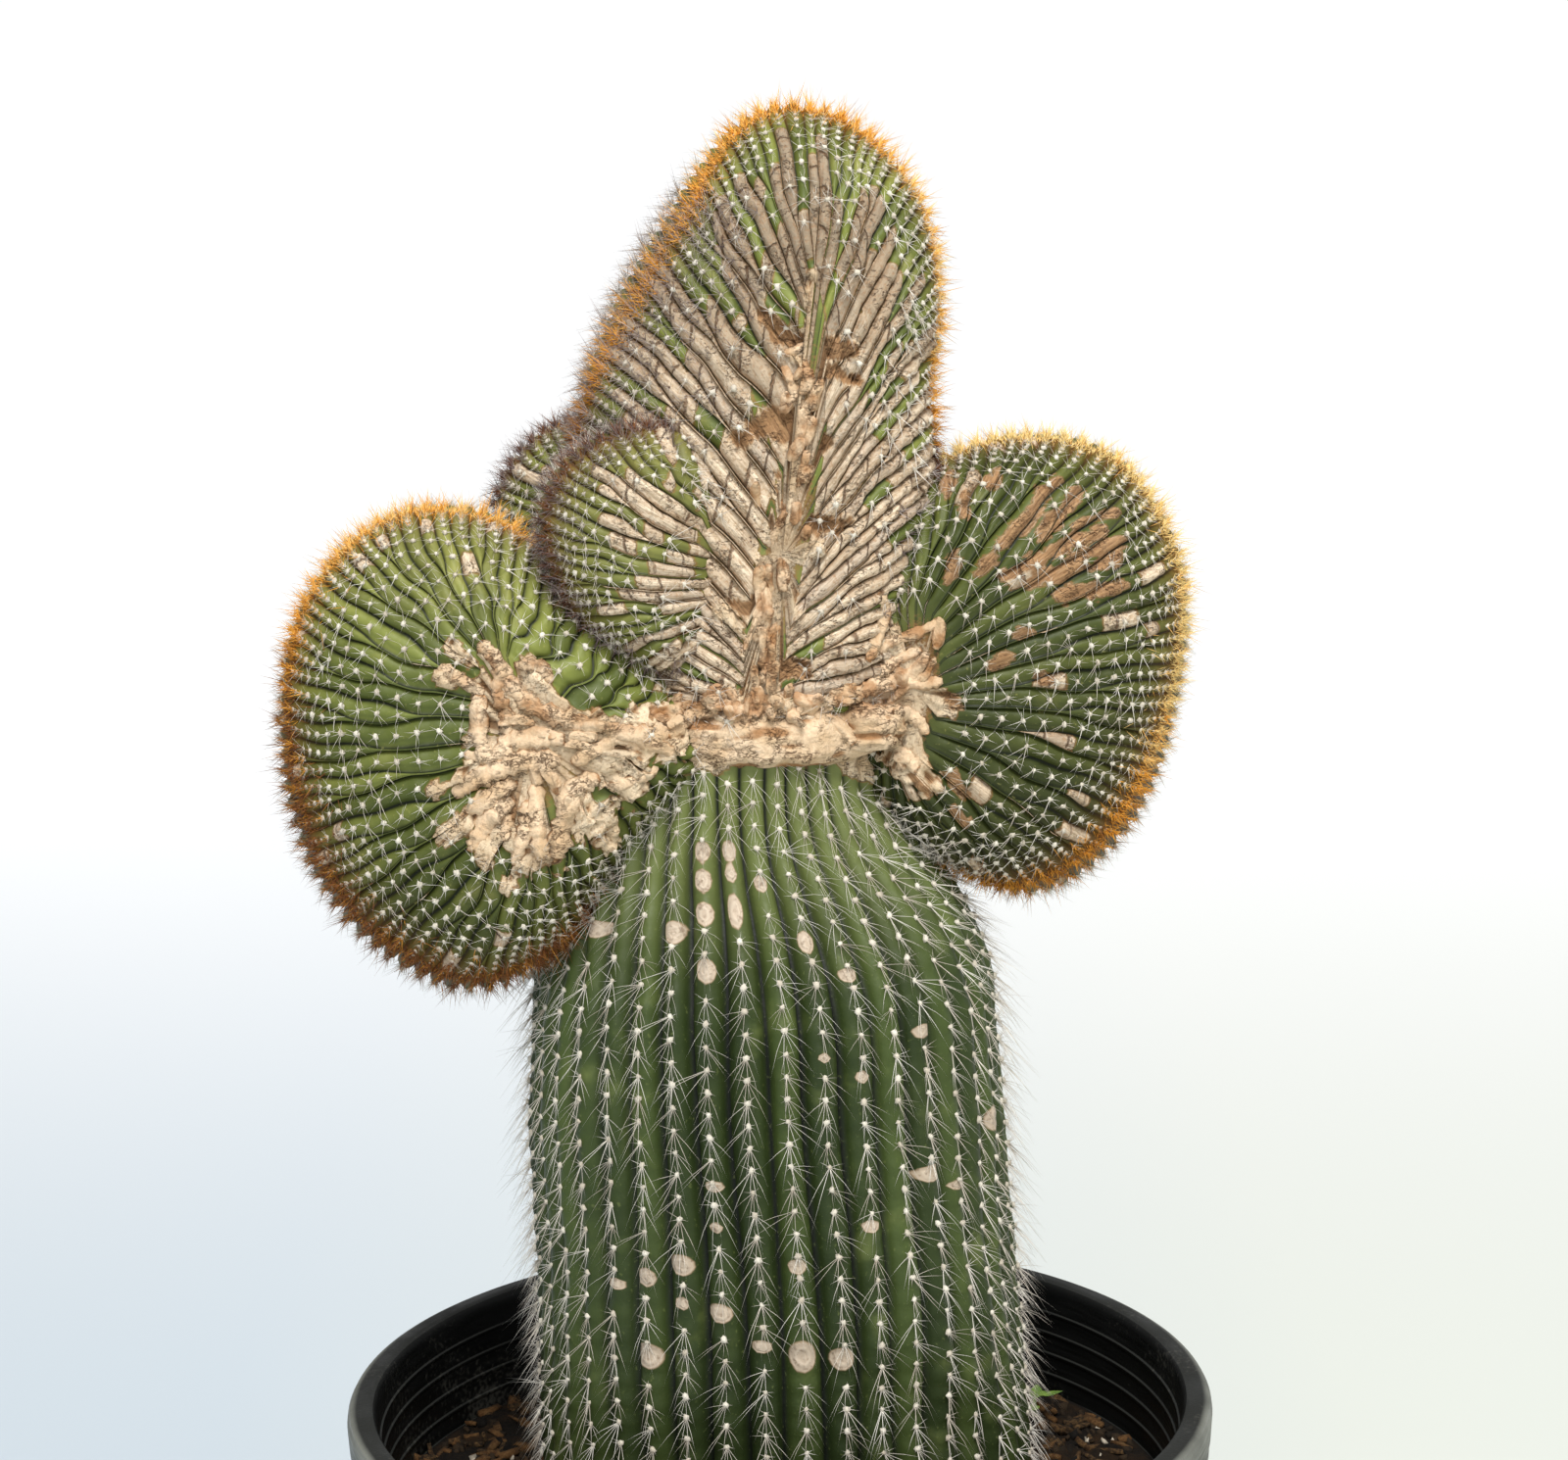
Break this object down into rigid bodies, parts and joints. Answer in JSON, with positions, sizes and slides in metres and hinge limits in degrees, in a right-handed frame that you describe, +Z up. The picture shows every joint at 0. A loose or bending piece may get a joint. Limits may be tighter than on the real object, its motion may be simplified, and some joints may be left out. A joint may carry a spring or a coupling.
{
  "type": "potted crested column cactus",
  "caption": "Thick ribbed column cactus topped with fan-shaped woolly crests, in a round black nursery pot with potting mix, bark chips and a small weed.",
  "frame": {"origin": "centre of the pot's flat underside, where the object stands", "axes": "+Z up along the column, -Y to the front, where the small crest and the broad faces of the crests look, +X to the right crest"},
  "size_m": [0.3155, 0.305, 0.7156],
  "materials": {
    "pot_plastic": "satin",
    "potting_mix": "matte",
    "stem_skin": "matte",
    "crest_skin": "matte",
    "bark": "matte",
    "weed_leaf": "satin"
  },
  "bodies": {
    "root": {"pot": "pot_plastic", "potting_mix": "potting_mix", "column": "stem_skin", "centre_crest": "crest_skin", "small_crest": "crest_skin", "left_crest": "crest_skin", "right_crest": "crest_skin", "rear_crest": "crest_skin", "bark_chip_1": "bark", "bark_chip_2": "bark", "bark_chip_3": "bark", "bark_chip_4": "bark", "bark_chip_5": "bark", "bark_chip_6": "bark", "bark_chip_7": "bark", "weed_stalk": "weed_leaf", "weed_leaf_1": "weed_leaf", "weed_leaf_2": "weed_leaf", "weed_leaf_3": "weed_leaf", "weed_leaf_4": "weed_leaf"}
  },
  "joints": []
}
